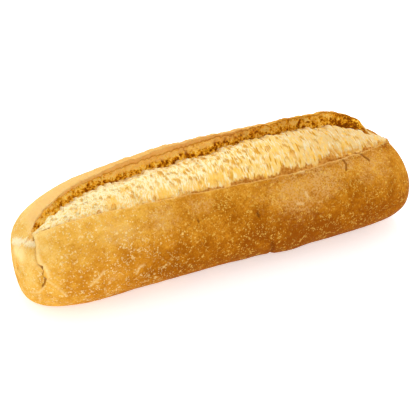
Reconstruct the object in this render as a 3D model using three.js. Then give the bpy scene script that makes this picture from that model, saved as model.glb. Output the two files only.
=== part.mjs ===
import * as THREE from "three";

// Bread roll: a short baguette, baked as one piece, in millimetres.
// +X runs along the loaf, -Y is the front crust below the slash, +Z is up.

// Driving dimensions
const length = 182;
const width = 62;
const crownHeight = 47; // resting face to the top of the crust, before the slash lifts it
const widestHeight = 19; // where the belly is widest
const bellySink = 1.6; // how far the round belly would reach below the table if it did not flatten
const bend = 4.6; // how far the middle lies behind a straight line between the ends
const earLean = 0.22; // forward lean of the ear, as a share of its rise
const earFoot = 38; // degrees behind the crest over which the ear sinks back into the crust
const grooveDepth = 1.8; // how far the foot of the ear lies below the loaf's own curve
const lipRoll = 0.7; // height of the torn rim that the front crust ends in
const endCreaseDepth = 0.6; // fold across the left end, where the dough was sealed
const endCreaseAt = -0.955;
const endCreaseWidth = 0.02;

// Roundness: 2 is an ellipse, and larger numbers are squarer
const crownRoundness = 2.4;
const bellyRoundness = 2.15;
const leftEnd = { plan: 3.2, crown: 3.5, belly: 6.0 };
const rightEnd = { plan: 4.3, crown: 3.4, belly: 4.4 };

// The slash and the swell of the loaf at places along it, from the left end (-1) to the right
// end (1). lip, groove and crest are angles round the section: 0 is the top, and the front is
// negative. rise and dome are heights of the ear and of the burst crumb, and open is the share
// of the slash's full depth.
const stations = {
  at: [-0.95, -0.88, -0.7, -0.35, 0, 0.35, 0.7, 0.83, 0.868, 0.9, 0.93, 0.97],
  lip: [-13, -18, -24, -31, -34, -35, -27, -19, -15.5, -12, -8, 0],
  groove: [-10, -6, 3, 6, 9, 17, 14.5, 5, 3, 3, 2, 2],
  crest: [-8, -1, 6.5, 10, 16, 16, 21, 21, 22, 24, 24, 12],
  rise: [0, 1.5, 3, 5.4, 5.4, 4.8, 5.6, 3.2, 1.6, -1.8, -2.8, -1.2],
  dome: [0, 0.6, 2, 2.3, 2.5, 2.5, 2.3, 0.7, 0.8, 1, 0.8, 0.3],
  open: [0, 0.8, 1, 1, 1, 1, 1, 1, 1, 0.9, 0.6, 0],
  breadth: [1.01, 1, 0.97, 0.94, 0.95, 0.97, 1.01, 1.03, 1.035, 1.037, 1.04, 1.04],
  tallness: [1, 1.01, 1.03, 1.02, 1, 0.97, 0.98, 0.985, 0.987, 0.988, 0.99, 0.99],
};

// How finely the solid is faceted
const sectionCount = 92;
const frontSteps = 20;
const crumbSteps = 12;
const wallSteps = 4;
const backSteps = 18;

const { clamp, degToRad, lerp, smoothstep } = THREE.MathUtils;

// Slope of a smooth curve through the stations at station i, level at both ends.
function slopeAt(i, at, values) {
  if (i === 0 || i === at.length - 1) return 0;
  return (values[i + 1] - values[i - 1]) / (at[i + 1] - at[i - 1]);
}

// Value of one station row at any place t along the loaf, on a smooth curve.
function along(t, row) {
  const at = stations.at;
  const values = stations[row];
  const place = clamp(t, at[0], at[at.length - 1]);
  const i = clamp(at.findLastIndex((x) => x <= place), 0, at.length - 2);
  const gap = at[i + 1] - at[i];
  const u = (place - at[i]) / gap;
  const ease = smoothstep(u, 0, 1);
  const leave = u * (1 - u) * (1 - u) * gap * slopeAt(i, at, values);
  const arrive = u * u * (u - 1) * gap * slopeAt(i + 1, at, values);
  return lerp(values[i], values[i + 1], ease) + leave + arrive;
}

// Share of the full size that is left at t, for an end of the given roundness.
function closing(t, measure) {
  const roundness = t < 0 ? leftEnd[measure] : rightEnd[measure];
  return Math.pow(Math.max(1 - Math.pow(Math.abs(t), roundness), 0), 1 / roundness);
}

// Signed power, which turns a circle into a squarer round.
function squared(value, roundness) {
  return Math.sign(value) * Math.pow(Math.abs(value), 2 / roundness);
}

// Point on the unslashed loaf at t and at an angle round the section.
function crustPoint(t, angle) {
  const across = Math.sin(degToRad(angle));
  const upward = Math.cos(degToRad(angle));
  const roundness = upward > 0 ? crownRoundness : bellyRoundness;
  const halfWidth = (width / 2) * closing(t, "plan") * along(t, "breadth");
  const crown = (crownHeight - widestHeight) * closing(t, "crown") * along(t, "tallness");
  const belly = (widestHeight + bellySink) * closing(t, "belly");
  const reach = upward > 0 ? crown : belly;
  const crease = endCreaseDepth * Math.exp(-Math.pow((t - endCreaseAt) / endCreaseWidth, 2));
  const y = (halfWidth - crease) * squared(across, roundness) + bend * (1 - t * t);
  const z = widestHeight + (reach - crease) * squared(upward, roundness);
  return new THREE.Vector2(y, z);
}

// The same point, moved out from the crust by a height.
function raisedPoint(t, angle, height) {
  const step = 1.5;
  const before = crustPoint(t, angle - step);
  const after = crustPoint(t, angle + step);
  const outward = new THREE.Vector2(before.y - after.y, after.x - before.x).normalize();
  return crustPoint(t, angle).addScaledVector(outward, height);
}

// One closed section of the loaf, from the underside round the front, over the slash to the back.
function sectionLoop(t) {
  const lip = along(t, "lip");
  const groove = along(t, "groove");
  const crest = along(t, "crest");
  const rise = along(t, "rise");
  const dome = along(t, "dome");
  const opening = smoothstep(along(t, "open"), 0, 0.8);
  const points = [];

  for (let i = 0; i < frontSteps; i += 1) {
    const share = i / (frontSteps - 1);
    const roll = lipRoll * opening * smoothstep(share, 0.85, 1);
    points.push(raisedPoint(t, lerp(-180, lip, share), roll));
  }
  for (let i = 1; i <= crumbSteps; i += 1) {
    const share = i / crumbSteps;
    const swell = dome * Math.pow(Math.sin(Math.PI * share), 0.8);
    const sink = grooveDepth * opening * smoothstep(share, 0.6, 1);
    points.push(raisedPoint(t, lerp(lip, groove, share), swell - sink));
  }

  const lift = new THREE.Vector2(-earLean * rise, rise);
  const foot = points[points.length - 1].clone();
  const edge = crustPoint(t, crest).add(lift);
  for (let i = 1; i <= wallSteps; i += 1) {
    points.push(foot.clone().lerp(edge, i / wallSteps));
  }
  for (let i = 1; i < backSteps; i += 1) {
    const angle = lerp(crest, 180, i / backSteps);
    const share = 1 - smoothstep(angle, crest, crest + earFoot);
    points.push(crustPoint(t, angle).addScaledVector(lift, share));
  }

  // The underside is flat where it rests.
  points.forEach((point) => point.setY(Math.max(point.y, 0)));
  return points;
}

// Places along the loaf, closer together towards the blunt ends.
function sectionPlace(index) {
  const even = (2 * index) / sectionCount - 1;
  return Math.sign(even) * (1 - Math.pow(1 - Math.abs(even), 1.7));
}

// Closed skin through all the sections, with one point at each end.
function loafGeometry() {
  const loops = [];
  for (let index = 1; index < sectionCount; index += 1) {
    loops.push(sectionLoop(sectionPlace(index)));
  }
  const around = loops[0].length;
  const positions = [];
  loops.forEach((loop, index) => {
    const x = (length / 2) * sectionPlace(index + 1);
    loop.forEach((point) => positions.push(x, point.x, point.y));
  });
  const leftPole = positions.length / 3;
  positions.push(-length / 2, 0, widestHeight);
  const rightPole = leftPole + 1;
  positions.push(length / 2, 0, widestHeight);

  const faces = [];
  for (let i = 0; i < around; i += 1) {
    const next = (i + 1) % around;
    for (let row = 0; row < loops.length - 1; row += 1) {
      const here = row * around;
      const beyond = here + around;
      faces.push(here + i, beyond + i, beyond + next);
      faces.push(here + i, beyond + next, here + next);
    }
    const last = (loops.length - 1) * around;
    faces.push(leftPole, i, next);
    faces.push(rightPole, last + next, last + i);
  }

  const geometry = new THREE.BufferGeometry();
  geometry.setAttribute("position", new THREE.Float32BufferAttribute(positions, 3));
  geometry.setIndex(faces);
  geometry.computeVertexNormals();
  return geometry;
}

// The loaf stands with its box centred over the origin.
function centreOverOrigin(geometry) {
  geometry.computeBoundingBox();
  const centre = geometry.boundingBox.getCenter(new THREE.Vector3());
  geometry.translate(-centre.x, -centre.y, -geometry.boundingBox.min.z);
}

const crustMaterial = new THREE.MeshStandardMaterial({
  color: 0xc68a35,
  roughness: 0.85,
  metalness: 0,
});

const loafSkin = loafGeometry();
centreOverOrigin(loafSkin);

const breadRoll = new THREE.Mesh(loafSkin, crustMaterial);
breadRoll.name = "bread_roll";

const part = new THREE.Group();
part.add(breadRoll);

export default part;
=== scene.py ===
import math
import bpy
import numpy as np
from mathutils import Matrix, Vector


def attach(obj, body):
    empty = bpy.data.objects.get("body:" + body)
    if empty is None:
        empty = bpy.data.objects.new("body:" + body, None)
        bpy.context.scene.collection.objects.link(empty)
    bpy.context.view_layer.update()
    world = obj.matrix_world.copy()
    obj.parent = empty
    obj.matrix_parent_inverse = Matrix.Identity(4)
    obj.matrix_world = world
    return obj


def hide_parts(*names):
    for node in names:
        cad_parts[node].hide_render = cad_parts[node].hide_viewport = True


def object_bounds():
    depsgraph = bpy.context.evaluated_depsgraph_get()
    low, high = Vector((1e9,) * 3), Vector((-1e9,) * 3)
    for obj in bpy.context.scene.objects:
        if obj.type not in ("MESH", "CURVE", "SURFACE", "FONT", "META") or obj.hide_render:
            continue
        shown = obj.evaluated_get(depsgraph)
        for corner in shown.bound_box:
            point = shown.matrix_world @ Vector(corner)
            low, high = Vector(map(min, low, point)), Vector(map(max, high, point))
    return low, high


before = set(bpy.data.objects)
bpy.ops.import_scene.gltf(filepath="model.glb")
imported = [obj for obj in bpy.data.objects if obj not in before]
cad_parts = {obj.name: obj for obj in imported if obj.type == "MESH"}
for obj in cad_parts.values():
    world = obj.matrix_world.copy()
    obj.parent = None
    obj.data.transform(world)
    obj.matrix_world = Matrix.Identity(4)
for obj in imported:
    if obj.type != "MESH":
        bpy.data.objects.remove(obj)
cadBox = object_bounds()
mm = 0.001
halfLength = (cadBox[1][0] - cadBox[0][0]) / 2 / mm
print("frame loaded, the roll is", [round((high - low) / mm, 1) for low, high in zip(*cadBox)], "mm")

# the loaf's own shape, in millimetres
loafShape = {
    "width": 62.0,
    "crownHeight": 47.0,  # resting face to the crown, before the slash lifts it
    "widestHeight": 19.0,
    "bellySink": 1.6,  # the round belly flattens by this much where it rests
    "bend": 4.6,  # the middle lies this far behind a straight line between the ends
    "crownRoundness": 2.4,  # 2 is an ellipse, and larger is squarer
    "bellyRoundness": 2.15,
    "leftEnd": {"plan": 3.2, "crown": 3.5, "belly": 6.0},
    "rightEnd": {"plan": 4.3, "crown": 3.4, "belly": 4.4},
}

# places along the loaf, -1 at the left end and 1 at the right end, and what the slash does there
slashRows = {
    "at": [-0.95, -0.88, -0.7, -0.35, 0, 0.35, 0.7, 0.83, 0.868, 0.9, 0.93, 0.97],
    "lip": [-13, -18, -24, -31, -34, -35, -27, -19, -15.5, -12, -8, 0],  # degrees round, 0 is the top
    "groove": [-10, -6, 3, 6, 9, 17, 14.5, 5, 3, 3, 2, 2],
    "crest": [-8, -1, 6.5, 10, 16, 16, 21, 21, 22, 24, 24, 12],
    "rise": [0, 1.5, 3.0, 5.4, 5.4, 4.8, 5.6, 3.2, 1.6, -1.8, -2.8, -1.2],  # mm that the ear stands up
    "dome": [0, 0.6, 2, 2.3, 2.5, 2.5, 2.3, 0.7, 0.8, 1.0, 0.8, 0.3],  # mm that the crumb swells
    "open": [0, 0.8, 1, 1, 1, 1, 1, 1, 1, 0.9, 0.6, 0],
    # share of the wall's height above which the crust folds over it
    "wallTop": [0.7, 0.7, 0.62, 0.62, 0.68, 0.86, 0.95, 0.96, 0.96, 0.96, 0.96, 0.96],
    "torn": [0, 0.1, 0.2, 0.4, 1.3, 2.7, 1.8, 0.8, 0.4, 0.3, 0.2, 0],  # mm of torn skin at the lip
    "breadth": [1.01, 1.0, 0.97, 0.94, 0.95, 0.97, 1.01, 1.03, 1.035, 1.037, 1.04, 1.04],
    "tallness": [1, 1.01, 1.03, 1.02, 1, 0.97, 0.98, 0.985, 0.987, 0.988, 0.99, 0.99],
}

slashEdges = {
    "earLean": 0.22,
    "earFoot": 38.0,  # degrees behind the crest over which the ear sinks back
    "grooveDepth": 2.8,  # mm that the foot of the ear lies below the loaf's own curve
    "undercut": 1.8,  # mm that the ear's wall is hollowed
    "lipRoll": 0.8,  # mm that the torn rim stands up
    "lipDrop": 0.6,  # mm from the torn rim down to the crumb
    "lipWander": 1.3,  # degrees that the torn rim wanders
    "grooveWander": 0.8,
    "crestWander": 1.0,
    "riseWander": 0.25,  # share of the ear's height
    "tornWander": 1.6,
    "budSize": 3.0,  # the crumb ends in round buds along the ear's foot
    "budReach": 2.8,
    "budHeight": 1.3,
    "mmPerDegree": 0.5,  # round the section, near the top
    "rimWidth": 0.4,
    "underRimAt": 1.0,  # mm below the rim, where the front crust is baked darker or paler
    "underRimWidth": 2.2,
    "blend": 0.6,  # mm over which one skin becomes the next
}
wanderSeeds = {"torn": 21, "buds": 31, "lip": 3, "groove": 5, "crest": 8, "rise": 11}

# cracks, creases, ridges and folds in the crust: mm along the loaf, degrees round it. The cracks and
# creases also carry painted shade, and the ridges a painted highlight
crustMarks = {
    # cracks sink the crust and get painted shade inside them
    "crackAndShade": [
        {"path": [(-84.6, -60), (-84.6, -66), (-85.3, -73), (-84.0, -77), (-84.8, -84), (-85.7, -88)],
         "width": 0.38, "depth": 0.7},
        {"path": [(54.2, -28), (55.6, -33), (56.0, -36), (55.0, -42)], "width": 0.42, "depth": 0.6},
        {"path": [(62.4, -24.5), (65.0, -27.5), (66.4, -31), (68.0, -35)], "width": 0.42, "depth": 0.7},
        {"path": [(51.8, -20), (53.2, -24)], "width": 0.6, "depth": 1.1},
        {"path": [(54.2, -20), (55.2, -25)], "width": 0.6, "depth": 1.1},
        {"path": [(57.6, -24), (61.0, -23.5), (65.0, -22)], "width": 0.6, "depth": 0.8},
        {"path": [(10.4, -65), (10.8, -69)], "width": 0.5, "depth": 1.1},
        {"path": [(-16.7, -58), (-16.4, -60)], "width": 0.4, "depth": 0.7},
    ],
    # the crease also gets a painted shadow along it, under the flap's rim
    "crease": [
        {"path": [(-84.6, -15), (-84.8, -20), (-85.0, -28), (-86.2, -44), (-86.2, -55), (-84.6, -60)],
         "width": 0.6, "depth": 0.7},
    ],
    "fold": [
        {"path": [(17.0, -99), (17.8, -108), (18.4, -120), (18.6, -137)], "width": 0.9, "depth": 1.6},
    ],
    # ridges stand up, and get a painted highlight along them
    "ridgeAndHighlight": [
        {"path": [(-84.8, -87), (-86.6, -97), (-89.2, -107)], "width": 0.45, "depth": -0.25},
        {"path": [(-83.6, -78), (-80.3, -87), (-77.0, -97)], "width": 0.45, "depth": -0.25},
        {"path": [(-83.2, -12), (-83.6, -26), (-84.6, -42), (-84.6, -54), (-83.0, -62), (-82.6, -74)],
         "width": 0.7, "depth": -0.3},
        {"path": [(-67.0, -90), (-63.7, -86), (-60.5, -80)], "width": 0.5, "depth": -0.2},
        {"path": [(-46.4, -89), (-45.2, -85), (-43.0, -84)], "width": 0.45, "depth": -0.3},
        {"path": [(33.6, -56), (34.2, -61)], "width": 0.5, "depth": -0.35},
        {"path": [(29.0, -65), (31.6, -66)], "width": 0.5, "depth": -0.3},
        {"path": [(29.4, -31), (32.0, -33.6), (35.4, -35.6)], "width": 0.7, "depth": -0.5},
    ],
}
endFlap = {  # the crust left of the first crease lies lower, and comes back up towards the tip
    "edge": [
        (-84.0, -10), (-84.8, -20), (-85.0, -28), (-86.2, -44), (-86.2, -55), (-84.6, -66), (-85.2, -88),
    ],
    "drop": 2.0,
    "reach": 5.0,
}
endSeam = {
    "path": [(-90.2, 34), (-90.0, 22), (-89.6, 8), (-88.4, -6), (-87.0, -14), (-85.6, -20)],
    "width": 2.2,
    "depth": 0.6,
}
endBlush = {"path": [(-90.4, 0), (-90.2, -20)], "width": 4.0}  # paler skin below the seam

# soft regions of the crust: mm along, degrees round, reach in mm, strength
palePatches = [
    (-90, -6, 4, 1.0), (-81, -40, 5, 0.4), (-56, -85, 7, 0.45), (-51, -50, 11, 0.65), (-32, -48, 9, 0.7),
    (-14, -44, 8, 0.6), (14, -50, 9, 0.4), (30, -55, 17, 0.75), (42, -47, 12, 0.95), (55, -34, 9, 0.75),
    (68, -37, 16, 0.65),
]
darkPatches = [
    (-68, -57, 10, 0.65), (-68, -76, 12, 0.75), (-58, -67, 11, 0.6), (-28, -78, 13, 0.5),
    (-3, -64, 8, 0.6), (11, -76, 12, 0.5), (24, -74, 9, 0.7), (32, -90, 14, 0.6), (44, -94, 10, 0.8),
    (60, -78, 15, 0.7),
]
toastedPatches = [  # the same, in the burst crumb
    (-66, -14, 4, 0.7), (-50, -20, 5, 0.8), (-43, -12, 4, 0.8), (-27, -27, 5, 1.0), (-12, -29, 4, 0.8),
    (-3, -25, 5, 1.0), (6, -22, 4, 0.8), (60, -16, 6, 0.6),
]
swells = [(27, -124, 9, 1.3), (-62, -70, 16, 0.4), (56, -60, 20, 0.4)]  # the same, with mm of height

# how fine the mesh is: sections along the loaf, and points round each part of one
meshSteps = {"rows": 500, "under": 5, "front": 68, "crumb": 81, "wall": 22, "back": 23}
frontStart = -138.0  # degrees round at which the finer front crust begins


# smooth step from 0 to 1
def ease(share):
    share = np.clip(share, 0, 1)
    return share * share * (3 - 2 * share)


# value of one slash row at places t along the loaf, on a smooth curve
def alongLoaf(t, row):
    at = np.array(slashRows["at"], float)
    values = np.array(slashRows[row], float)
    slopes = np.empty_like(values)
    slopes[1:-1] = (values[2:] - values[:-2]) / (at[2:] - at[:-2])
    slopes[[0, -1]] = 0
    place = np.clip(t, at[0], at[-1])
    i = np.clip(np.searchsorted(at, place, side="right") - 1, 0, len(at) - 2)
    gap = at[i + 1] - at[i]
    u = (place - at[i]) / gap
    between = values[i] + (values[i + 1] - values[i]) * ease(u)
    return between + u * (1 - u) ** 2 * gap * slopes[i] + u * u * (u - 1) * gap * slopes[i + 1]


# share of the full size that is left at t, where the ends close
def closing(t, measure):
    roundness = np.where(t < 0, loafShape["leftEnd"][measure], loafShape["rightEnd"][measure])
    return np.maximum(1 - np.abs(t) ** roundness, 0) ** (1 / roundness)


# signed power, which turns a circle into a squarer round
def squared(value, roundness):
    return np.sign(value) * np.abs(value) ** (2 / roundness)


# the unslashed loaf
def crustPoint(t, angle):
    across = np.sin(np.radians(angle))
    upward = np.cos(np.radians(angle))
    roundness = np.where(upward > 0, loafShape["crownRoundness"], loafShape["bellyRoundness"])
    halfWidth = loafShape["width"] / 2 * closing(t, "plan") * alongLoaf(t, "breadth")
    crown = (loafShape["crownHeight"] - loafShape["widestHeight"]) * closing(t, "crown")
    belly = (loafShape["widestHeight"] + loafShape["bellySink"]) * closing(t, "belly")
    reach = np.where(upward > 0, crown * alongLoaf(t, "tallness"), belly)
    y = halfWidth * squared(across, roundness) + loafShape["bend"] * (1 - t * t)
    z = loafShape["widestHeight"] + reach * squared(upward, roundness)
    return np.stack([y, z], -1)


# direction away from the crust, at right angles to it
def outwardAt(t, angle):
    step = 1.5
    chord = crustPoint(t, angle + step) - crustPoint(t, angle - step)
    outward = np.stack([-chord[..., 1], chord[..., 0]], -1)
    return outward / np.maximum(np.linalg.norm(outward, axis=-1, keepdims=True), 1e-9)


# uneven line along the loaf that swings round zero
def wander(t, edge):
    maker = np.random.default_rng(wanderSeeds[edge])
    line = np.zeros_like(t)
    for wave in (9, 17, 31, 53, 88, 140):
        swingNow = np.sin(wave * t * 3.1 + maker.uniform(0, 6.28))
        line += swingNow * maker.uniform(0.5, 1) / wave ** 0.5
    return line * slashEdges[edge + "Wander"]


# round buds side by side, with sharp notches between them
def buds(t, size):
    maker = np.random.default_rng(wanderSeeds["buds"])
    budCount = 400
    notches = np.cumsum(maker.uniform(0.5, 1.5, budCount) * size) - 1.2 * halfLength
    heights = maker.uniform(0.2, 1, budCount)
    i = np.searchsorted(notches, t * halfLength)
    share = (t * halfLength - notches[i - 1]) / (notches[i] - notches[i - 1])
    return heights[i] * np.sin(np.pi * share) ** 0.7


# places along the loaf that are evenly spaced over its skin, round the blunt ends too
def evenPlaces(rows):
    fine = np.sin(np.linspace(-1, 1, 20001) * math.pi / 2)
    fine = np.sign(fine) * (1 - (1 - np.abs(fine)) ** 1.5)
    meanRadius = 26
    radius = closing(fine, "plan") * meanRadius
    walked = np.concatenate([[0], np.cumsum(np.hypot(np.diff(fine) * halfLength, np.diff(radius)))])
    return np.interp(np.linspace(0, walked[-1], rows + 2), walked, fine)[1:-1]


# one place on the crust, given in mm along and degrees round
def crustSpot(along, angle):
    y, z = crustPoint(np.array(along / halfLength), np.array(float(angle)))
    return np.array([along, y, z])


# 1 on a path drawn over the crust, fading to 0 beside it
def nearPath(points, path, width):
    spots = [crustSpot(along, angle) for along, angle in path]
    nearest = np.full(len(points), 1e9)
    for start, end in zip(spots[:-1], spots[1:]):
        run = end - start
        share = np.clip((points - start) @ run / (run @ run), 0, 1)
        nearest = np.minimum(nearest, np.linalg.norm(points - start - share[:, None] * run, axis=1))
    return np.exp(-(nearest / width) ** 2)


# soft round spots, a little longer along the loaf than round it
def nearSpots(points, spots, stretch=1.3):
    field = np.zeros(len(points))
    for along, angle, reach, strength in spots:
        away = np.linalg.norm((points - crustSpot(along, angle)) * [1, stretch, stretch], axis=1)
        field = np.maximum(field, strength * np.exp(-(away / reach) ** 2))
    return field


# every section of the loaf, and what each of its points is made of
def loafSections(t):
    opening = ease(alongLoaf(t, "open") * 1.2)
    rise = alongLoaf(t, "rise")
    earOpening = ease(rise / 1.2)
    dome = alongLoaf(t, "dome")
    torn = alongLoaf(t, "torn") * np.maximum(1 + wander(t, "torn"), 0.15)
    bud = buds(t, slashEdges["budSize"])
    lip = alongLoaf(t, "lip") + wander(t, "lip") * opening
    budLine = wander(t, "groove") + slashEdges["budReach"] * (bud - 0.5)
    groove = alongLoaf(t, "groove") + budLine * opening
    crest = alongLoaf(t, "crest") + wander(t, "crest") * earOpening
    crest = np.maximum(crest, groove + 1)
    rise = rise * (1 + wander(t, "rise"))

    pieces = []
    maskNames = ("crumb", "earWall", "across", "tornSkin", "rim", "underRim", "earTop", "angle")
    masks = {name: [] for name in maskNames}

    def keep(points, **given):
        pieces.append(points)
        for mask in masks:
            masks[mask].append(np.broadcast_to(given.get(mask, 0.0), points.shape[:2]).astype(float))

    # underside, then the front crust up to the torn rim
    under = np.linspace(-180, frontStart, meshSteps["under"], endpoint=False)[None, :]
    keep(crustPoint(t, under), angle=under)
    share = np.linspace(0, 1, meshSteps["front"])[None, :]
    share = share * (1.3 - 0.3 * share)
    angle = frontStart + (lip - frontStart) * share
    roll = slashEdges["lipRoll"] * opening * ease((share - 0.9) / 0.1)
    walked = (lip - angle) * slashEdges["mmPerDegree"]
    below = (walked - slashEdges["underRimAt"]) / slashEdges["underRimWidth"]
    keep(
        crustPoint(t, angle) + outwardAt(t, angle) * roll[..., None],
        angle=angle,
        rim=opening * np.exp(-(walked / slashEdges["rimWidth"]) ** 2),
        underRim=opening * np.exp(-below ** 2),
    )

    # burst crumb
    share = np.linspace(0, 1, meshSteps["crumb"] + 1)[None, 1:]
    angle = lip + (groove - lip) * share
    walked = (angle - lip) * slashEdges["mmPerDegree"]
    swell = dome * np.sin(np.pi * share) ** 0.8
    swell = swell + slashEdges["budHeight"] * bud * ease((share - 0.6) / 0.3)
    drop = slashEdges["lipDrop"] * opening * ease(share / 0.03) * (1 - ease((share - 0.05) / 0.2))
    sink = slashEdges["grooveDepth"] * opening * ease((share - 0.66) / 0.34)
    start = slashEdges["lipRoll"] * opening * (1 - ease(share / 0.03))
    pastTorn = (walked - torn) / slashEdges["blend"]
    keep(
        crustPoint(t, angle) + outwardAt(t, angle) * (swell - drop - sink + start)[..., None],
        angle=angle,
        across=share,
        crumb=opening * ease(pastTorn + 0.5),
        tornSkin=opening * ease(0.5 - pastTorn) * ease(torn / 0.8),
        rim=opening * np.exp(-(walked / slashEdges["rimWidth"]) ** 2),
    )

    # the ear's wall, hollowed
    foot = pieces[-1][:, -1:]
    lift = np.stack([-slashEdges["earLean"] * rise, rise], -1)
    edge = crustPoint(t, crest) + lift
    share = np.linspace(0, 1, meshSteps["wall"] + 1)[None, 1:]
    hollow = slashEdges["undercut"] * np.sin(np.pi * share ** 0.8) * earOpening
    wall = foot + (edge - foot) * share[..., None] + np.stack([hollow, hollow * 0], -1)
    wallTop = alongLoaf(t, "wallTop")
    keep(
        wall,
        angle=crest,
        across=share / wallTop,
        earWall=earOpening * (1 - ease((share - wallTop) / 0.06 + 0.5)),
        crumb=(1 - earOpening) * opening,
        earTop=ease((share - wallTop) / 0.1),
    )

    # the ear's top and the back crust
    share = np.linspace(0, 1, meshSteps["back"] + 1)[None, 1:-1] ** 1.4
    angle = crest + (180 - crest) * share
    behind = angle - crest
    sinking = 1 - ease(behind / slashEdges["earFoot"])
    keep(
        crustPoint(t, angle) + lift * sinking[..., None],
        angle=angle,
        earTop=earOpening * (1 - ease((behind - 8) / 25)),
    )
    grids = {mask: np.concatenate(kept, axis=1) for mask, kept in masks.items()}
    return np.concatenate(pieces, axis=1), grids


# cracks, folds and soft regions of the crust, with the masks that paint shade in the cracks and creases
# and a highlight on the ridges
def markCrust(along, masks):
    bare = np.concatenate([along[:, None], crustPoint(along / halfLength, masks["angle"])], axis=1)
    onCrust = (1 - masks["crumb"]) * (1 - masks["earWall"])
    sunk = np.zeros(len(bare))
    for kind, marks in crustMarks.items():
        field = np.zeros(len(bare))
        for mark in marks:
            close = nearPath(bare, mark["path"], mark["width"])
            field = np.maximum(field, close)
            sunk += close * mark["depth"]
        masks[kind] = field
    del masks["fold"]  # only its depth is wanted
    places, angles = np.array(endFlap["edge"], float).T
    past = np.interp(-masks["angle"], -angles, places) - along
    beside = ease((-masks["angle"] - 6) / 10) * (1 - ease((-masks["angle"] - 76) / 14))
    flap = ease(past / 0.9 + 0.3) * np.exp(-np.maximum(past, 0) / endFlap["reach"]) * beside
    masks["seam"] = nearPath(bare, endSeam["path"], endSeam["width"])
    masks["blush"] = nearPath(bare, endBlush["path"], endBlush["width"])
    sunk += flap * endFlap["drop"] + masks["seam"] * endSeam["depth"] - nearSpots(bare, swells)
    masks["sunk"] = sunk
    masks["pale"] = nearSpots(bare, palePatches) * onCrust
    masks["dark"] = nearSpots(bare, darkPatches) * onCrust
    masks["toasted"] = nearSpots(bare, toastedPatches)


# closed mesh through all the sections, with one point at each tip
def loafMesh(name):
    t = evenPlaces(meshSteps["rows"])[:, None]
    section, grids = loafSections(t)
    rows, around = section.shape[:2]
    x = np.broadcast_to(t * halfLength, (rows, around))
    points = np.stack([x, section[..., 0], section[..., 1]], -1).reshape(-1, 3)
    tips = [[-halfLength, 0, loafShape["widestHeight"]], [halfLength, 0, loafShape["widestHeight"]]]
    points = np.concatenate([points, tips])
    masks = {mask: np.concatenate([grid.reshape(-1), [0, 0]]) for mask, grid in grids.items()}
    markCrust(points[:, 0], masks)
    del masks["angle"]
    points[:, 1] -= (section[..., 0].max() + section[..., 0].min()) / 2
    points[:, 2] = np.maximum(points[:, 2], 0)

    row = np.arange(rows - 1)[:, None] * around
    i = np.arange(around)[None, :]
    following = (i + 1) % around
    quads = np.stack([row + i, row + around + i, row + around + following, row + following], -1)
    quads = quads.reshape(-1, 4)
    left = rows * around
    right = left + 1
    last = (rows - 1) * around
    fans = [(left, a, (a + 1) % around) for a in range(around)]
    fans += [(right, last + (a + 1) % around, last + a) for a in range(around)]

    mesh = bpy.data.meshes.new(name)
    mesh.from_pydata(points * mm, [], quads.tolist() + fans)
    for mask, values in masks.items():
        mesh.attributes.new(mask, "FLOAT", "POINT").data.foreach_set("value", values.astype(np.float32))
    restPlace = mesh.attributes.new("restPlace", "FLOAT_VECTOR", "POINT")
    restPlace.data.foreach_set("vector", points.astype(np.float32).reshape(-1))
    piece = bpy.data.objects.new(name, mesh)
    bpy.context.collection.objects.link(piece)
    return piece


roll = loafMesh("breadRoll")
print("loaf lofted,", len(roll.data.polygons), "faces")


# small helpers that both kinds of tree use
def addNode(tree, kind, settings=None, inputs=None):
    made = tree.nodes.new(kind)
    for name, value in (settings or {}).items():
        setattr(made, name, value)
    for name, value in (inputs or {}).items():
        if isinstance(value, bpy.types.NodeSocket):
            tree.links.new(value, made.inputs[name])
        else:
            made.inputs[name].default_value = value
    return made


def calc(tree, operation, first, second=0.0, third=0.0):
    settings = {"operation": operation}
    return addNode(tree, "ShaderNodeMath", settings, {0: first, 1: second, 2: third}).outputs[0]


def times(tree, first, second):
    return calc(tree, "MULTIPLY", first, second)


# base plus a share of value
def plus(tree, base, value, amount=1.0):
    return calc(tree, "MULTIPLY_ADD", value, amount, base)


def vectorCalc(tree, operation, first, second):
    settings = {"operation": operation}
    return addNode(tree, "ShaderNodeVectorMath", settings, {0: first, 1: second}).outputs[0]


# the same amount more along all three axes
def shifted(tree, vector, amount):
    return vectorCalc(tree, "ADD", vector, (amount,) * 3)


# place moved about by a share of a noise colour
def shaken(tree, place, warp, amount):
    return vectorCalc(tree, "ADD", place, vectorCalc(tree, "MULTIPLY", warp, (amount,) * 3))


def split(tree, vector):
    return addNode(tree, "ShaderNodeSeparateXYZ", None, {0: vector}).outputs


def joined(tree, x, y, z):
    return addNode(tree, "ShaderNodeCombineXYZ", None, {0: x, 1: y, 2: z}).outputs[0]


# smooth change from one value to another while the given value goes from low to high
def fade(tree, value, low, high, fromValue=0.0, toValue=1.0):
    settings = {"interpolation_type": "SMOOTHSTEP"}
    ends = {"Value": value, "From Min": low, "From Max": high, "To Min": fromValue, "To Max": toValue}
    return addNode(tree, "ShaderNodeMapRange", settings, ends).outputs["Result"]


# noise with lumps of the given size in mm
def noiseAt(tree, place, size, detail=2.0, roughness=0.5, output="Fac"):
    inputs = {"Vector": place, "Scale": 1 / size, "Detail": detail, "Roughness": roughness}
    return addNode(tree, "ShaderNodeTexNoise", None, inputs).outputs[output]


# noise that swings round zero
def swing(tree, place, size, detail=2.0, roughness=0.5):
    return calc(tree, "SUBTRACT", noiseAt(tree, place, size, detail, roughness), 0.5)


# cells of the given size in mm
def cellsAt(tree, place, size, feature="F1"):
    inputs = {"Vector": place, "Scale": 1 / size}
    return addNode(tree, "ShaderNodeTexVoronoi", {"feature": feature}, inputs).outputs


# the same patterns shape the mesh and colour it, so both trees ask for them here
crumbPockets = {  # cell size in mm, a pocket's reach as a share of it, and how few cells are hollow
    "small": {"size": 1.75, "reach": 0.5, "leastChance": 0.1, "mostChance": 0.8},
    "big": {"size": 3.0, "reach": 0.46, "leastChance": 0.6, "mostChance": 0.9},
}
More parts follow.
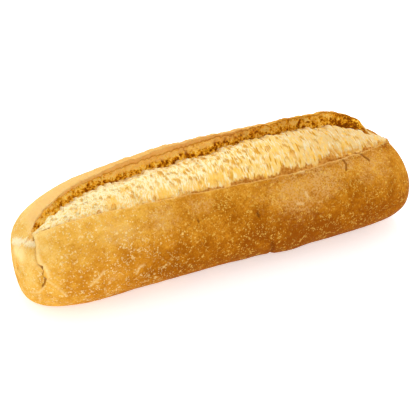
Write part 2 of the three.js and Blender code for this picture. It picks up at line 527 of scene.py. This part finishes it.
# a run goes from one place along the loaf to another, then from one value to another
crumbFlow = {
    "squeezeRun": (-72.0, -22.0, 0.8, 0.42),  # pockets are stretched across the slash, least at the left
    "narrowRun": (-10.0, 30.0, 1.0, 0.72),
    "slant": 0.1,  # their rows lean a little along the loaf
    "shake": 1.7,
    "shakeSize": 3.5,
    "strandShake": 0.7,
    "strandRun": (-70.0, -5.0, 1.3, 0.6),  # strands are longer still than the pockets, but at the left
    "roofSide": (0.45, 0.85, 0.3),  # the deep side of each pocket lies back and right, under its roof, where a painted shadow crescent goes
}
crumbleCells = {"size": 2.2, "detail": 3.0, "roughness": 0.65, "bitSize": 1.3}


def pocketPattern(tree, place):
    spot = split(tree, place)
    along = spot[0]
    place = joined(tree, plus(tree, along, spot[1], -crumbFlow["slant"]), spot[1], spot[2])
    warp = noiseAt(tree, place, crumbFlow["shakeSize"], output="Color")
    squeeze = fade(tree, along, *crumbFlow["squeezeRun"])
    squeeze = times(tree, squeeze, fade(tree, along, *crumbFlow["narrowRun"]))
    squeezed = joined(tree, 1.0, squeeze, squeeze)
    stretched = vectorCalc(tree, "MULTIPLY", shaken(tree, place, warp, crumbFlow["shake"]), squeezed)
    pull = times(tree, squeeze, fade(tree, along, *crumbFlow["strandRun"]))
    waved = shaken(tree, place, warp, crumbFlow["strandShake"])
    pattern = {"strands": vectorCalc(tree, "MULTIPLY", waved, joined(tree, 1.0, pull, pull))}
    for name, pocket in crumbPockets.items():
        cells = cellsAt(tree, stretched, pocket["size"])
        inCell = vectorCalc(tree, "SUBTRACT", stretched, cells["Position"])
        roofSide = tuple(side / pocket["size"] for side in crumbFlow["roofSide"])
        settings = {"operation": "DOT_PRODUCT"}
        deep = addNode(tree, "ShaderNodeVectorMath", settings, {0: inCell, 1: roofSide})
        pattern[name] = {
            "away": cells["Distance"],
            "chance": split(tree, cells["Color"])[0],
            "deep": deep.outputs["Value"],
        }
    return pattern


# how hollow the pockets of one kind are, and the painted shadow crescent under the roof of each
def pocketHollow(tree, pockets, name):
    cells = pockets[name]
    pocket = crumbPockets[name]
    reach = pocket["reach"]
    chance = fade(tree, cells["chance"], pocket["leastChance"], pocket["mostChance"])
    inside = fade(tree, cells["away"], reach, reach * 0.6)
    hollow = times(tree, times(tree, inside, chance), fade(tree, cells["deep"], -0.4, 0.3, 0.3, 1.0))
    roofShadow = fade(tree, cells["away"], reach * 1.2, reach * 0.95)
    roofShadow = times(tree, fade(tree, cells["deep"], 0.0, 0.2), roofShadow)
    return hollow, times(tree, roofShadow, chance)


def crumblePattern(tree, place):
    holes = noiseAt(tree, place, crumbleCells["size"], crumbleCells["detail"], crumbleCells["roughness"])
    bits = cellsAt(tree, place, crumbleCells["bitSize"], "SMOOTH_F1")["Distance"]
    return {"holes": fade(tree, holes, 0.52, 0.36), "bits": bits}


# the ear's wall is smoother along its top on the left half
def wallSkin(tree, place, across, low):
    along = split(tree, place)[0]
    skin = times(tree, fade(tree, along, 35.0, 5.0), fade(tree, along, -55.0, -35.0))
    return times(tree, skin, fade(tree, across, low, 0.6))


# relief of the crust, the burst crumb and the ear's wall, in mm
reliefSizes = {
    "Pocket Depth": 0.6,
    "Big Pocket Depth": 0.7,
    "Crumb Lump Height": 1.0,
    "Strand Height": 0.45,
    "Crumble Depth": 1.0,
    "Crumble Bit Height": 0.45,
    "Wall Lump Height": 1.4,
    "Torn Skin Height": 1.6,
    "Crust Swell": 0.55,
    "Crust Grain": 0.3,
}
lumpSizes = {
    "crumb": 5.0,
    "strand": 1.0,
    "wall": 4.0,
    "tornSkin": 1.6,
    "wideSwell": 31.0,
    "narrowSwell": 17.0,
    "crustGrain": 4.0,
}


def reliefTree():
    tree = bpy.data.node_groups.new("breadRelief", "GeometryNodeTree")
    tree.interface.new_socket("Geometry", in_out="INPUT", socket_type="NodeSocketGeometry")
    for name, value in reliefSizes.items():
        socket = tree.interface.new_socket(name, in_out="INPUT", socket_type="NodeSocketFloat")
        socket.default_value = value
    tree.interface.new_socket("Material", in_out="INPUT", socket_type="NodeSocketMaterial")
    tree.interface.new_socket("Geometry", in_out="OUTPUT", socket_type="NodeSocketGeometry")
    given = addNode(tree, "NodeGroupInput").outputs

    def named(name, kind="FLOAT"):
        settings = {"data_type": kind}
        made = addNode(tree, "GeometryNodeInputNamedAttribute", settings, {"Name": name})
        return made.outputs["Attribute"]

    place = named("restPlace", "FLOAT_VECTOR")

    pockets = pocketPattern(tree, place)
    hollow = pocketHollow(tree, pockets, "small")[0]
    bigHollow = pocketHollow(tree, pockets, "big")[0]
    crumbHeight = times(tree, hollow, times(tree, given["Pocket Depth"], -1.0))
    crumbHeight = plus(tree, crumbHeight, bigHollow, times(tree, given["Big Pocket Depth"], -1.0))
    lumps = swing(tree, place, lumpSizes["crumb"])
    crumbHeight = plus(tree, crumbHeight, lumps, given["Crumb Lump Height"])
    strand = swing(tree, pockets["strands"], lumpSizes["strand"], 2.0, 0.6)
    crumbHeight = plus(tree, crumbHeight, strand, given["Strand Height"])

    # the ear's wall is full of holes
    crumble = crumblePattern(tree, place)
    unskinned = plus(tree, 1.0, wallSkin(tree, place, named("across"), 0.35), -0.8)
    wallHoles = times(tree, crumble["holes"], unskinned)
    wallBits = calc(tree, "SUBTRACT", 0.4, crumble["bits"])
    wallHeight = times(tree, wallHoles, times(tree, given["Crumble Depth"], -1.0))
    wallHeight = plus(tree, wallHeight, wallBits, given["Crumble Bit Height"])
    lumps = swing(tree, place, lumpSizes["wall"])
    wallHeight = plus(tree, wallHeight, lumps, given["Wall Lump Height"])
    wallHeight = times(tree, wallHeight, fade(tree, named("across"), 0.7, 1.0, 1.0, 0.35))

    crustHeight = swing(tree, place, lumpSizes["crustGrain"], 3.0)
    crustHeight = times(tree, crustHeight, given["Crust Grain"])
    swell = times(tree, swing(tree, place, lumpSizes["wideSwell"], 1.0), 2.0)
    swell = plus(tree, swell, swing(tree, place, lumpSizes["narrowSwell"], 1.0), 1.1)

    crumbMask = named("crumb")
    wallMask = named("earWall")
    crustMask = calc(tree, "SUBTRACT", calc(tree, "SUBTRACT", 1.0, crumbMask), wallMask)
    tornHeight = times(tree, named("tornSkin"), swing(tree, place, lumpSizes["tornSkin"]))
    height = plus(tree, times(tree, swell, given["Crust Swell"]), named("sunk"), -1.0)
    height = plus(tree, height, crumbMask, crumbHeight)
    height = plus(tree, height, wallMask, wallHeight)
    height = plus(tree, height, crustMask, crustHeight)
    height = plus(tree, height, tornHeight, given["Torn Skin Height"])
    normal = addNode(tree, "GeometryNodeInputNormal").outputs[0]
    inputs = {0: normal, "Scale": times(tree, height, mm)}
    offset = addNode(tree, "ShaderNodeVectorMath", {"operation": "SCALE"}, inputs).outputs[0]

    inputs = {"Geometry": given["Geometry"], "Offset": offset}
    shape = addNode(tree, "GeometryNodeSetPosition", None, inputs).outputs[0]
    shape = addNode(tree, "GeometryNodeRealizeInstances", None, {"Geometry": shape}).outputs[0]
    inputs = {"Geometry": shape, "Material": given["Material"]}
    shape = addNode(tree, "GeometryNodeSetMaterial", None, inputs).outputs[0]
    addNode(tree, "NodeGroupOutput", None, {"Geometry": shape})
    return tree


# the tree's result as a plain mesh, flat where it rests
def pressRelief(piece, material):
    tree = reliefTree()
    modifier = piece.modifiers.new("relief", "NODES")
    modifier.node_group = tree
    for socket in tree.interface.items_tree:
        if socket.in_out == "INPUT" and socket.name in reliefSizes:
            modifier[socket.identifier] = reliefSizes[socket.name]
        if socket.in_out == "INPUT" and socket.name == "Material":
            modifier[socket.identifier] = material
    graph = bpy.context.evaluated_depsgraph_get()
    shaped = piece.evaluated_get(graph)
    pressed = bpy.data.meshes.new_from_object(shaped, preserve_all_data_layers=True, depsgraph=graph)
    piece.modifiers.remove(modifier)
    piece.data = pressed
    points = np.empty(len(pressed.vertices) * 3)
    pressed.vertices.foreach_get("co", points)
    points[2::3] = np.maximum(points[2::3], 0)
    pressed.vertices.foreach_set("co", points)
    pressed.shade_smooth()
    pressed.update()


def ramp(tree, value, stops):
    made = addNode(tree, "ShaderNodeValToRGB", None, {0: value})
    points = made.color_ramp.elements
    while len(points) < len(stops):
        points.new(0.5)
    for point, (place, colour) in zip(points, stops):
        point.position = place
        point.color = (*colour, 1)
    return made.outputs["Color"]


def mixColours(tree, share, first, second):
    made = addNode(tree, "ShaderNodeMix", {"data_type": "RGBA"}, {0: share})
    for socket, colour in ((6, first), (7, second)):
        if isinstance(colour, bpy.types.NodeSocket):
            tree.links.new(colour, made.inputs[socket])
        else:
            made.inputs[socket].default_value = (*colour, 1)
    return made.outputs[2]


bakedColours = {
    "crust": [
        (0.0, (0.93, 0.63, 0.20)), (0.3, (0.78, 0.41, 0.058)), (0.55, (0.56, 0.22, 0.013)),
        (0.8, (0.36, 0.11, 0.002)), (1.0, (0.26, 0.065, 0.001)),
    ],
    "freckle": (0.98, 0.80, 0.40),
    "dryFreckle": (0.86, 0.52, 0.10),
    "dusted": (0.66, 0.36, 0.11),
    "pit": (0.30, 0.09, 0.005),
    "seam": (0.95, 0.80, 0.48),
    # painted shade, inside the cracks and along the creases
    "crackAndShade": (0.28, 0.085, 0.005),
    "crease": (0.34, 0.12, 0.012),
    "crumbLight": (0.95, 0.82, 0.48),
    "crumbWarm": (0.80, 0.65, 0.38),
    "crumbShade": (0.88, 0.57, 0.15),
    "crumbTan": (0.74, 0.49, 0.19),
    "slit": (0.62, 0.28, 0.008),
    # painted shade inside the pockets
    "pocket": (0.94, 0.70, 0.32),
    "blush": (0.97, 0.76, 0.33),
    "golden": (0.92, 0.52, 0.07),
    # painted shadow colour, under the pockets' roofs and in the cracks in the crumb
    "goldenShade": (0.80, 0.40, 0.04),
    "tornSkin": (0.44, 0.15, 0.012),
    "tornEdge": (0.68, 0.32, 0.06),
    "rim": (0.90, 0.60, 0.20),
    "earTop": (0.86, 0.50, 0.17),
    "wall": [
        (0.0, (0.97, 0.66, 0.17)), (0.33, (0.96, 0.52, 0.04)), (0.58, (0.74, 0.31, 0.008)),
        (0.8, (0.46, 0.15, 0.002)), (1.0, (0.26, 0.065, 0.001)),
    ],
    "wallSkin": (0.84, 0.48, 0.13),
    "wallEdge": (0.46, 0.15, 0.002),
}

# how brown the crust is, 0 to 1. Each run goes from one mm mark to another, and from one value
# to another, or from 0 to 1 where it has no values.
crustBake = {
    "alongRun": (-100.0, 0.0, 0.14, 0.6),
    "downRun": (40.0, 8.0),
    "downAmountRun": (-95.0, -68.0, 0.15, 0.31),
    "clouds": [(24.0, 0.45), (6.0, 0.4)],  # size in mm, strength
    "mottles": [(2.2, 0.45), (1.0, 0.55), (0.55, 0.5)],
    "mottleRun": (-70.0, 0.0, 0.5, 0.75),
    "underRimRun": (-5.0, 35.0, -0.08, 0.16),
    "pale": -0.1,
    "dark": 0.24,
    "earTop": -0.16,
}
crustSpecks = {
    "freckles": [(1.1, 0.35), (2.0, 0.65)],  # size in mm, share of places left without
    "freckleSpread": 9.0,
    "freckleRun": (-30.0, 50.0, 1.0, 0.65),
    "freckleLowRun": (2.0, 22.0, 0.5, 1.0),
    "freckleHeight": 0.12,
    "pitSize": 1.15,
    "pitDepth": 0.12,
    "pitRun": (-50.0, 20.0, 0.1, 0.35),
    "wrinkleSize": 2.2,
    "wrinkleHeight": 0.1,
}


def crustColour(tree, place, mask):
    spot = split(tree, place)
    along = spot[0]
    bake = fade(tree, along, *crustBake["alongRun"])
    lower = fade(tree, spot[2], *crustBake["downRun"])
    bake = plus(tree, bake, times(tree, lower, fade(tree, along, *crustBake["downAmountRun"])))
    mottled = fade(tree, along, *crustBake["mottleRun"])
    for size, strength in crustBake["clouds"]:
        bake = plus(tree, bake, swing(tree, place, size, 2.0, 0.6), strength)
    for size, strength in crustBake["mottles"]:
        bake = plus(tree, bake, times(tree, swing(tree, place, size, 2.0, 0.6), strength), mottled)
    pale = fade(tree, plus(tree, mask("pale"), swing(tree, place, 3.0, 4.0, 0.75), 1.6), 0.25, 0.85)
    pale = times(tree, pale, fade(tree, mask("pale"), 0.03, 0.2))
    bake = plus(tree, bake, pale, crustBake["pale"])
    for name in ("dark", "earTop"):
        bake = plus(tree, bake, mask(name), crustBake[name])
    underRim = fade(tree, along, *crustBake["underRimRun"])
    bake = plus(tree, bake, times(tree, mask("underRim"), underRim))
    crust = ramp(tree, bake, bakedColours["crust"])

    def paint(share, colour):
        return mixColours(tree, share, crust, colour)

    dust = fade(tree, noiseAt(tree, place, 0.8, 2.0, 0.6), 0.4, 0.56, 0.1, 0.8)
    crust = paint(times(tree, pale, dust), bakedColours["dusted"])

    dryness = fade(tree, along, -60.0, -10.0)
    freckles = mixColours(tree, dryness, bakedColours["freckle"], bakedColours["dryFreckle"])
    freckle = 0.0
    for size, least in crustSpecks["freckles"]:
        cells = cellsAt(tree, shifted(tree, place, 2.1 * size), size)
        chance = split(tree, cells["Color"])[0]
        away = plus(tree, cells["Distance"], swing(tree, place, 0.7), 0.5)
        dots = times(tree, fade(tree, away, 0.34, 0.2), fade(tree, chance, least, least + 0.3))
        freckle = calc(tree, "MAXIMUM", freckle, dots)
    spread = plus(tree, 0.5, swing(tree, place, crustSpecks["freckleSpread"], 1.0), 1.6)
    spread = times(tree, spread, fade(tree, along, *crustSpecks["freckleRun"]))
    spread = times(tree, spread, fade(tree, spot[2], *crustSpecks["freckleLowRun"]))
    crust = paint(times(tree, freckle, spread), freckles)
    cells = cellsAt(tree, place, crustSpecks["pitSize"])
    chance = split(tree, cells["Color"])[1]
    pit = times(tree, fade(tree, cells["Distance"], 0.34, 0.12), fade(tree, chance, 0.6, 0.9))
    pitted = fade(tree, along, *crustSpecks["pitRun"])
    crust = paint(times(tree, pit, pitted), bakedColours["pit"])

    # short pale wrinkles, here and there
    wrinkle = calc(tree, "ABSOLUTE", swing(tree, place, crustSpecks["wrinkleSize"]))
    wrinkle = fade(tree, wrinkle, 0.035, 0.01)
    wrinkle = times(tree, wrinkle, fade(tree, noiseAt(tree, place, 2.6), 0.5, 0.6))
    crust = paint(times(tree, wrinkle, 0.55), freckles)

    # the marks, with a painted highlight on the ridges and painted shade in the cracks and creases, then
    # the torn rim, the ear's top and the seam at the left end
    # painted highlight along the raised ridges
    crust = paint(times(tree, mask("ridgeAndHighlight"), 0.4), bakedColours["freckle"])
    # painted shade inside the cracks
    crackAndShade = fade(tree, plus(tree, mask("crackAndShade"), swing(tree, place, 0.8), 0.4), 0.15, 0.45)
    crust = paint(times(tree, crackAndShade, 0.75), bakedColours["crackAndShade"])
    # painted shadow along the crease at the left end
    crust = paint(times(tree, mask("crease"), 0.9), bakedColours["crease"])
    golden = fade(tree, along, 10.0, 40.0, 0.65, 0.0)
    crust = paint(times(tree, mask("earTop"), golden), bakedColours["earTop"])
    crust = paint(times(tree, mask("rim"), 0.5), bakedColours["rim"])
    crust = paint(times(tree, fade(tree, mask("blush"), 0.1, 1.0), 0.8), bakedColours["blush"])
    seam = plus(tree, mask("seam"), swing(tree, place, 0.9, 3.0, 0.7), 1.6)
    crust = paint(fade(tree, seam, 0.3, 1.0), bakedColours["seam"])
    height = times(tree, freckle, crustSpecks["freckleHeight"])
    height = plus(tree, height, wrinkle, crustSpecks["wrinkleHeight"])
    return crust, plus(tree, height, pit, -crustSpecks["pitDepth"]), bake


# how strongly each thing is coloured in the crumb, 0 to 1, and sizes and depths in mm
crumbLooks = {
    "shade": 0.9,
    # the two pocket shares paint shade into the hollows
    "pocket": 0.4,
    "bigPocketShade": 0.12,
    "tip": 0.6,
    "roofShadow": 0.8,
    "bigRoofShadow": 0.9,
    "toasted": 0.6,
    "toastedPatch": 0.75,
    "crackAndShade": 0.8,
    "strandSize": 0.75,
    "slitSize": 1.1,
    "tipSize": 1.0,
    "pocketDepth": 0.45,
    "slitDepth": 0.08,
}


def crumbColour(tree, place, mask):
    pockets = pocketPattern(tree, place)
    hollow, roofShadow = pocketHollow(tree, pockets, "small")
    bigHollow, bigRoofShadow = pocketHollow(tree, pockets, "big")
    strand = pockets["strands"]
    across = mask("across")
    # painted shade: the crumb turns more golden on its front slope towards the lip, which faces away
    # from the light
    shadedTowardsLip = fade(tree, across, 0.7, 0.0, 0.0, 0.06)
    along = split(tree, place)[0]
    paler = fade(tree, along, -75.0, -30.0, 0.3, 1.0)

    # fine strands pulled across the slash
    shade = plus(tree, noiseAt(tree, strand, crumbLooks["strandSize"], 2.0, 0.55), shadedTowardsLip)
    shade = plus(tree, shade, fade(tree, along, -30.0, 50.0, 0.0, 0.13))
    warmer = fade(tree, along, 0.0, 50.0)
    light = mixColours(tree, warmer, bakedColours["crumbLight"], bakedColours["crumbWarm"])
    tanned = fade(tree, along, 25.0, 60.0)
    dim = mixColours(tree, tanned, bakedColours["crumbShade"], bakedColours["crumbTan"])
    crumb = mixColours(tree, fade(tree, shade, 0.5, 0.64, 0.0, crumbLooks["shade"]), light, dim)

    def paint(share, colour):
        return mixColours(tree, share, crumb, bakedColours[colour])

    # painted shade inside the hollow pockets
    hollowShade = times(tree, hollow, crumbLooks["pocket"])
    hollowShade = calc(tree, "MAXIMUM", hollowShade, times(tree, bigHollow, crumbLooks["bigPocketShade"]))
    crumb = paint(hollowShade, "pocket")
    slits = cellsAt(tree, shifted(tree, strand, 7.0), crumbLooks["slitSize"])
    chance = fade(tree, split(tree, slits["Color"])[0], 0.2, 0.45)
    slit = times(tree, fade(tree, slits["Distance"], 0.4, 0.18), chance)
    slit = times(tree, slit, fade(tree, along, -60.0, 20.0))
    crumb = paint(slit, "slit")

    # toasted tips between the pockets, and painted shadow under the roofs over them
    tips = noiseAt(tree, strand, crumbLooks["tipSize"], 2.0, 0.6)
    tips = plus(tree, plus(tree, tips, swing(tree, place, 2.0), 0.6), shadedTowardsLip)
    tips = fade(tree, tips, 0.56, 0.68, 0.0, crumbLooks["tip"])
    tips = times(tree, tips, fade(tree, hollow, 0.4, 0.1))
    crumb = paint(times(tree, tips, paler), "golden")
    roofShadows = times(tree, roofShadow, crumbLooks["roofShadow"])
    roofShadows = calc(tree, "MAXIMUM", roofShadows, times(tree, bigRoofShadow, crumbLooks["bigRoofShadow"]))
    roofShadows = times(tree, roofShadows, fade(tree, noiseAt(tree, place, 4.0, 1.0), 0.35, 0.6, 0.35, 0.95))
    crumb = paint(times(tree, roofShadows, paler), "goldenShade")

    # browner along the lip and in a few soft patches
    toasted = plus(tree, noiseAt(tree, place, 6.0, 4.0, 0.7), fade(tree, across, 0.16, 0.0), 0.2)
    toasted = fade(tree, toasted, 0.56, 0.78, 0.0, crumbLooks["toasted"])
    crumb = paint(times(tree, toasted, paler), "golden")
    patch = plus(tree, mask("toasted"), swing(tree, strand, 1.6, 4.0, 0.7), 1.8)
    patch = fade(tree, patch, 0.35, 0.9, 0.0, crumbLooks["toastedPatch"])
    crumb = paint(times(tree, patch, fade(tree, mask("toasted"), 0.05, 0.2)), "golden")
    # painted shade in the cracks where they cross the crumb
    crumb = paint(times(tree, mask("crackAndShade"), crumbLooks["crackAndShade"]), "goldenShade")
    height = times(tree, calc(tree, "MAXIMUM", hollow, bigHollow), -crumbLooks["pocketDepth"])
    return crumb, plus(tree, height, slit, -crumbLooks["slitDepth"])


# how brown the ear's wall is, 0 to 1, with painted shade in its holes, along its foot and at its right
# end
wallBrowning = {
    # painted shade in the holes
    "holeShade": 0.28,
    "bit": 0.4,
    "speckles": [(0.9, 2.7, 3.0, 0.7), (2.6, 1.9, 2.0, 0.5)],  # size in mm, strength, detail, roughness
    "creviceBrownAndShade": 0.4,
    "leftEnd": -0.1,
    # painted shade at the right end, where the wall turns away from the light
    "rightEnd": 0.45,
}


def wallColour(tree, place, mask):
    crumble = crumblePattern(tree, place)
    along = split(tree, place)[0]
    across = mask("across")
    # painted shade in the wall's holes
    value = times(tree, crumble["holes"], wallBrowning["holeShade"])
    for size, strength, detail, roughness in wallBrowning["speckles"]:
        value = plus(tree, value, swing(tree, place, size, detail, roughness), strength)
    value = plus(tree, value, crumble["bits"], wallBrowning["bit"])
    # darker at the wall's foot: partly browner crumb, partly painted shade in the crevice
    creviceBrownAndShade = fade(tree, plus(tree, across, swing(tree, place, 5.0), 0.8), 0.6, 0.25)
    value = plus(tree, value, creviceBrownAndShade, wallBrowning["creviceBrownAndShade"])
    value = plus(tree, value, fade(tree, along, -50.0, -75.0), wallBrowning["leftEnd"])
    # painted shade at the wall's right end
    value = plus(tree, value, fade(tree, along, 60.0, 71.0), wallBrowning["rightEnd"])
    wall = ramp(tree, value, bakedColours["wall"])
    streaks = vectorCalc(tree, "MULTIPLY", place, (0.35, 1.0, 1.0))
    streaks = fade(tree, noiseAt(tree, streaks, 0.9, 3.0, 0.7), 0.42, 0.6, 0.95, 0.3)
    skin = times(tree, wallSkin(tree, place, across, 0.3), streaks)
    wall = mixColours(tree, skin, wall, bakedColours["wallSkin"])
    edge = fade(tree, across, 0.86, 0.95, 0.0, 0.6)
    return mixColours(tree, edge, wall, bakedColours["wallEdge"])


breadFinish = {
    "shine": 0.02,
    "roughnessPale": 0.86,
    "roughnessBrown": 0.7,
    "lightInside": 0.12,
    "lightReach": 1.2,  # mm
    "lightReachByColour": (1.0, 0.45, 0.15),
    "grainSize": 0.7,
    "grainHeight": 0.24,
    "bump": 0.8,
}


def breadMaterial():
    material = bpy.data.materials.new("bakedBread")
    material.use_nodes = True
    tree = material.node_tree
    shader = tree.nodes["Principled BSDF"]

    def mask(name):
        return addNode(tree, "ShaderNodeAttribute", {"attribute_name": name}).outputs["Fac"]

    place = addNode(tree, "ShaderNodeAttribute", {"attribute_name": "restPlace"}).outputs["Vector"]
    crust, crustGrain, bake = crustColour(tree, place, mask)
    crumb, crumbGrain = crumbColour(tree, place, mask)
    wall = wallColour(tree, place, mask)

    tornValue = fade(tree, noiseAt(tree, place, 1.2, 3.0, 0.6), 0.35, 0.65)
    torn = mixColours(tree, tornValue, bakedColours["tornSkin"], bakedColours["tornEdge"])
    colour = mixColours(tree, mask("tornSkin"), crust, torn)
    colour = mixColours(tree, mask("crumb"), colour, crumb)
    colour = mixColours(tree, mask("earWall"), colour, wall)
    tree.links.new(colour, shader.inputs["Base Color"])

    roughness = fade(tree, bake, 0.2, 0.9, breadFinish["roughnessPale"], breadFinish["roughnessBrown"])
    tree.links.new(roughness, shader.inputs["Roughness"])
    shader.inputs["Specular IOR Level"].default_value = breadFinish["shine"]
    shader.inputs["Subsurface Weight"].default_value = breadFinish["lightInside"]
    shader.inputs["Subsurface Radius"].default_value = breadFinish["lightReachByColour"]
    shader.inputs["Subsurface Scale"].default_value = breadFinish["lightReach"] * mm

    grain = noiseAt(tree, place, breadFinish["grainSize"], 4.0, 0.6)
    grain = times(tree, grain, breadFinish["grainHeight"])
    grain = plus(tree, grain, crustGrain)
    grain = plus(tree, grain, mask("crumb"), crumbGrain)
    inputs = {"Strength": breadFinish["bump"], "Distance": mm, "Height": grain}
    bump = addNode(tree, "ShaderNodeBump", None, inputs)
    tree.links.new(bump.outputs[0], shader.inputs["Normal"])
    return material


bakedBread = breadMaterial()
pressRelief(roll, bakedBread)
print("relief pressed,", sum(len(face.vertices) - 2 for face in roll.data.polygons), "triangles")

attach(roll, "root")
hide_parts("bread_roll")

# studio: pale glowing table, soft light, camera
cameraView = {
    "azimuth": -24.0,
    "elevation": 37.0,
    "distance": 0.5895,
    "lens": 114.0,
    "target": (0.0, -0.0031, 0.0212),
    "shiftX": -0.0088,
}
studio = {
    "floorReach": 3.0,
    "floorGlow": 0.45,
    "paper": [(0.93, 0.93, 0.93), (0.96, 0.96, 0.96)],
    "paperGrain": 0.004,
    "sky": 0.85,
    "lamps": {
        "keySoftbox": {"place": (0.9, 1.5, 2.2), "size": 0.9, "power": 28},
        "fillSoftbox": {"place": (-0.7, -2.1, 1.5), "size": 1.4, "power": 11},
    },
}


def paleTable():
    material = bpy.data.materials.new("paleTable")
    material.use_nodes = True
    tree = material.node_tree
    shader = tree.nodes["Principled BSDF"]
    place = addNode(tree, "ShaderNodeTexCoord").outputs["Object"]
    paper = noiseAt(tree, place, studio["paperGrain"], 3.0)
    tree.links.new(mixColours(tree, paper, *studio["paper"]), shader.inputs["Base Color"])
    tree.links.new(fade(tree, paper, 0.3, 0.7, 0.75, 0.85), shader.inputs["Roughness"])
    shader.inputs["Emission Color"].default_value = (1, 1, 1, 1)
    shader.inputs["Emission Strength"].default_value = studio["floorGlow"]
    return material


floorMesh = bpy.data.meshes.new("floor")
reach = studio["floorReach"]
corners = [(-reach, -reach, 0), (reach, -reach, 0), (reach, reach, 0), (-reach, reach, 0)]
floorMesh.from_pydata(corners, [], [(0, 1, 2, 3)])
floor = bpy.data.objects.new("floor", floorMesh)
bpy.context.collection.objects.link(floor)
floorMesh.materials.append(paleTable())

azimuth = math.radians(cameraView["azimuth"])
elevation = math.radians(cameraView["elevation"])
level = math.cos(elevation)
back = Vector((math.sin(azimuth) * level, -math.cos(azimuth) * level, math.sin(elevation)))
cameraData = bpy.data.cameras.new("camera")
cameraData.lens = cameraView["lens"]
cameraData.shift_x = cameraView["shiftX"]
camera = bpy.data.objects.new("camera", cameraData)
camera.location = Vector(cameraView["target"]) + back * cameraView["distance"]
camera.rotation_euler = back.to_track_quat("Z", "Y").to_euler()
bpy.context.collection.objects.link(camera)
bpy.context.scene.camera = camera

for name, lamp in studio["lamps"].items():
    lampData = bpy.data.lights.new(name, "AREA")
    lampData.shape = "SQUARE"
    lampData.size = lamp["size"]
    lampData.energy = lamp["power"]
    softbox = bpy.data.objects.new(name, lampData)
    softbox.location = lamp["place"]
    softbox.rotation_euler = Vector(lamp["place"]).to_track_quat("Z", "Y").to_euler()
    bpy.context.collection.objects.link(softbox)

world = bpy.data.worlds.new("studio")
world.use_nodes = True
world.node_tree.nodes["Background"].inputs["Color"].default_value = (1, 1, 1, 1)
world.node_tree.nodes["Background"].inputs["Strength"].default_value = studio["sky"]
bpy.context.scene.world = world
bpy.context.scene.view_settings.view_transform = "Standard"
print("studio set")
